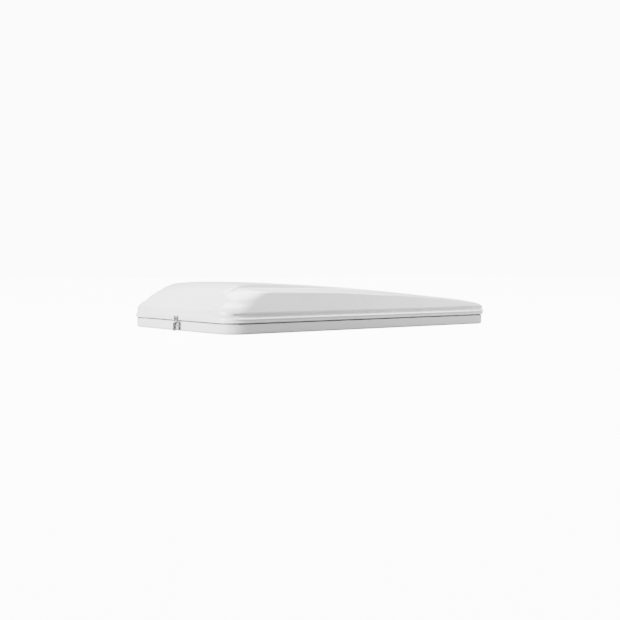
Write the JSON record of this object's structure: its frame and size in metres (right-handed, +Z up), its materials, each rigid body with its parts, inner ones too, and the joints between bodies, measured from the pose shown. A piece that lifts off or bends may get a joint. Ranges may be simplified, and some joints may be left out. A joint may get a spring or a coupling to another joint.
{
  "type": "rooftop tent",
  "caption": "Closed hard-shell rooftop tent: moulded base and wedge-shaped lid hinged at the low end, with a rear draw latch, gas struts, mattress and folding fabric walls.",
  "frame": {"origin": "middle of the footprint, on the surface the tent stands on", "axes": "+X to the low hinged end, -X to the tall end with the latch, +Z up"},
  "size_m": [2.338, 1.3, 0.316],
  "materials": {
    "shell": "white gelcoat, glossy",
    "seal_rubber": "grey rubber",
    "steel": "stainless steel, satin",
    "aluminium": "mill-finish aluminium",
    "black_plastic": "moulded black plastic",
    "plywood": "varnished plywood",
    "mattress_cover": "woven cotton blend, quilted",
    "lining": "quilted lining",
    "lens": "frosted",
    "netting": "knotted elastic net",
    "webbing": "woven webbing",
    "tent_fabric": "coated cotton-blend canvas",
    "strut_paint": "black paint, satin",
    "strut_rod": "polished"
  },
  "bodies": {
    "base": {"lower_shell": "shell", "floor_board": "plywood", "mattress": "mattress_cover", "mounting_rail_left": "aluminium", "mounting_rail_right": "aluminium", "rail_bolts": "steel", "rail_washers": "steel", "seal": "seal_rubber", "fabric_clamp_lower": "aluminium", "fabric_wall_left": "tent_fabric", "fabric_wall_right": "tent_fabric", "fabric_wall_rear": "tent_fabric", "hinge_leaves_lower": "steel", "hinge_pins": "steel", "hinge_screws_lower": "steel", "latch_base": "steel", "latch_pivots": "steel", "latch_rivets": "steel", "strut_bracket_lower_left": "steel", "strut_bracket_lower_right": "steel"},
    "lid": {"upper_shell": "shell", "headliner": "lining", "lamp_housing": "black_plastic", "lamp_lens": "lens", "storage_net": "netting", "net_hangers": "black_plastic", "grab_strap": "webbing", "fabric_clamp_upper": "aluminium", "hinge_leaves_upper": "steel", "hinge_screws_upper": "steel", "latch_keeper": "steel", "keeper_rivets": "steel", "strut_bracket_upper_left": "steel", "strut_bracket_upper_right": "steel"},
    "latch_lever": {"latch_lever": "steel", "latch_bail_pin": "steel"},
    "latch_bail": {"latch_bail": "steel"},
    "strut_cylinder_left": {"strut_cylinder_left": "strut_paint"},
    "strut_rod_left": {"strut_rod_left": "strut_rod"},
    "strut_cylinder_right": {"strut_cylinder_right": "strut_paint"},
    "strut_rod_right": {"strut_rod_right": "strut_rod"}
  },
  "joints": [
    {"name": "lid_hinge", "type": "hinge", "parent": "base", "child": "lid", "pos_m": [1.161, 0, 0.066], "axis": [0, 1, 0], "range_deg": [0, 38], "deforming": ["fabric_wall_left", "fabric_wall_right", "fabric_wall_rear"]},
    {"name": "latch_lever_pivot", "type": "hinge", "parent": "base", "child": "latch_lever", "pos_m": [-1.157, -0.032, 0.046], "axis": [0, 1, 0], "range_deg": [0, 95]},
    {"name": "latch_bail_pivot", "type": "hinge", "parent": "latch_lever", "child": "latch_bail", "pos_m": [-1.151, -0.032, 0.022], "axis": [0, 1, 0], "range_deg": [-107, 0]},
    {"name": "strut_pivot_left", "type": "hinge", "parent": "base", "child": "strut_cylinder_left", "pos_m": [0.16, -0.58, 0.048], "axis": [0, -1, 0], "range_deg": [0, 17.2]},
    {"name": "strut_slide_left", "type": "slide", "parent": "strut_cylinder_left", "child": "strut_rod_left", "axis": [0.9845, 0, 0.1754], "range_m": [0, 0.2234]},
    {"name": "strut_pivot_right", "type": "hinge", "parent": "base", "child": "strut_cylinder_right", "pos_m": [0.16, 0.58, 0.048], "axis": [0, -1, 0], "range_deg": [0, 17.2]},
    {"name": "strut_slide_right", "type": "slide", "parent": "strut_cylinder_right", "child": "strut_rod_right", "axis": [0.9845, 0, 0.1754], "range_m": [0, 0.2234]}
  ],
  "couplings": [
    {"joint": "latch_bail_pivot", "follows": "latch_lever_pivot", "ratio": -1.1263},
    {"joint": "strut_pivot_left", "follows": "lid_hinge", "ratio": 0.45265},
    {"joint": "strut_slide_left", "follows": "lid_hinge", "m_per_rad": 0.33672},
    {"joint": "strut_pivot_right", "follows": "lid_hinge", "ratio": 0.45265},
    {"joint": "strut_slide_right", "follows": "lid_hinge", "m_per_rad": 0.33672}
  ]
}
